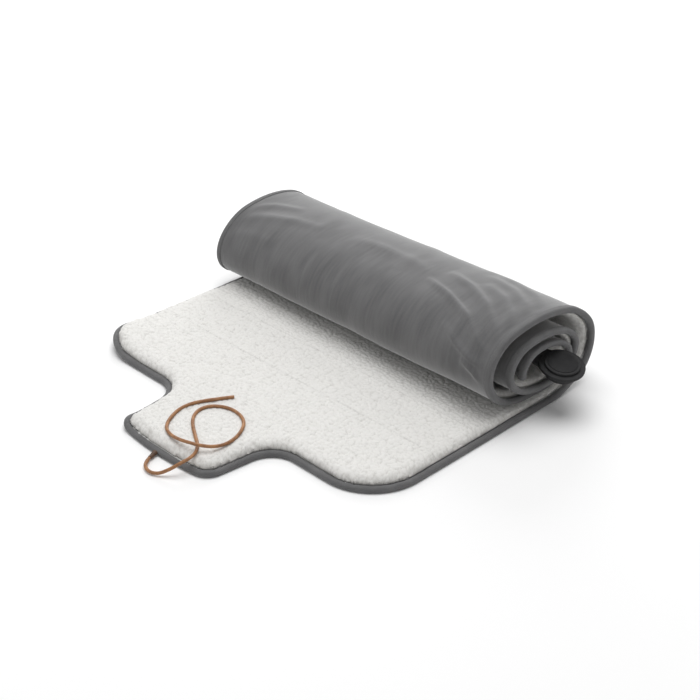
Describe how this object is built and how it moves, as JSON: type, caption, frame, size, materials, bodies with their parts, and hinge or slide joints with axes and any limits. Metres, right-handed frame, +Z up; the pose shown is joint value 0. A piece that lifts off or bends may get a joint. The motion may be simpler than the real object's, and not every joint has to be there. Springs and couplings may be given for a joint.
{
  "type": "infrared heating blanket",
  "caption": "Rolled-up heated blanket with white curly pile, grey cover, taped edge, tabbed flat end with a leather tie cord, and a power pod on a flexible tongue.",
  "frame": {"origin": "on the resting face, under the middle of the roll", "axes": "+X along the roll towards the pod, -Y towards the flat end and its tab, +Z up from the resting face"},
  "size_m": [0.5637, 0.5014, 0.1124],
  "materials": {
    "cover_fabric": "matte",
    "wadding_fibre": "matte",
    "heating_film": "satin",
    "copper": "satin",
    "fleece_pile": "matte",
    "binding_tape": "matte",
    "tie_leather": "satin",
    "pod_shell": "matte",
    "button_rubber": "matte",
    "tongue_rubber": "matte",
    "screw_steel": "satin",
    "board_green": "satin",
    "chip_black": "matte",
    "inlet_plastic": "satin"
  },
  "bodies": {
    "roll": {"rolled_cover": "cover_fabric", "rolled_wadding": "wadding_fibre", "rolled_heater_film": "heating_film", "rolled_bus_bars": "copper", "rolled_pile": "fleece_pile", "rolled_binding": "binding_tape", "thermal_cutouts": "chip_black", "tongue_anchor": "tongue_rubber", "lead_ribbon": "copper"},
    "inner_panel": {"inner_panel_cover": "cover_fabric", "inner_panel_wadding": "wadding_fibre", "inner_panel_heater_film": "heating_film", "inner_panel_bus_bars": "copper", "inner_panel_pile": "fleece_pile", "inner_panel_binding": "binding_tape", "temperature_sensor": "chip_black"},
    "middle_panel": {"middle_panel_cover": "cover_fabric", "middle_panel_wadding": "wadding_fibre", "middle_panel_heater_film": "heating_film", "middle_panel_bus_bars": "copper", "middle_panel_pile": "fleece_pile", "middle_panel_binding": "binding_tape"},
    "front_panel": {"front_panel_cover": "cover_fabric", "front_panel_wadding": "wadding_fibre", "front_panel_heater_film": "heating_film", "front_panel_bus_bars": "copper", "front_panel_pile": "fleece_pile", "front_panel_binding": "binding_tape", "tie_cord": "tie_leather", "cord_sleeve": "tie_leather"},
    "pod": {"pod_base": "pod_shell", "pod_top": "pod_shell", "pod_seal": "tongue_rubber", "pod_screws": "screw_steel", "circuit_board": "board_green", "tact_switch": "chip_black", "main_chip": "chip_black", "power_transistors": "chip_black", "inlet_socket": "inlet_plastic", "inlet_contacts": "copper", "tongue": "tongue_rubber"},
    "power_button": {"power_button": "button_rubber", "switch_plunger": "chip_black"}
  },
  "joints": [
    {"name": "roll_up_inner", "type": "hinge", "parent": "roll", "child": "inner_panel", "pos_m": [0, -0.0352, 0.015], "axis": [-1, 0, 0], "range_deg": [0, 56]},
    {"name": "roll_up_middle", "type": "hinge", "parent": "inner_panel", "child": "middle_panel", "pos_m": [0, -0.1002, 0.015], "axis": [-1, 0, 0], "range_deg": [0, 67.3]},
    {"name": "roll_up_front", "type": "hinge", "parent": "middle_panel", "child": "front_panel", "pos_m": [0, -0.1702, 0.015], "axis": [-1, 0, 0], "range_deg": [0, 56.1]},
    {"name": "tongue_flex", "type": "hinge", "parent": "roll", "child": "pod", "pos_m": [0.2264, 0.044, 0.0647], "axis": [0, 1, 0], "range_deg": [-18, 26]},
    {"name": "power_press", "type": "slide", "parent": "pod", "child": "power_button", "axis": [-0.1928, 0.0779, -0.9781], "range_m": [0, 0.0008], "stiffness_N_per_m": 1500, "springref_m": -0.0003}
  ],
  "couplings": [
    {"joint": "roll_up_middle", "follows": "roll_up_inner", "ratio": 1.2},
    {"joint": "roll_up_front", "follows": "roll_up_inner", "ratio": 1}
  ]
}
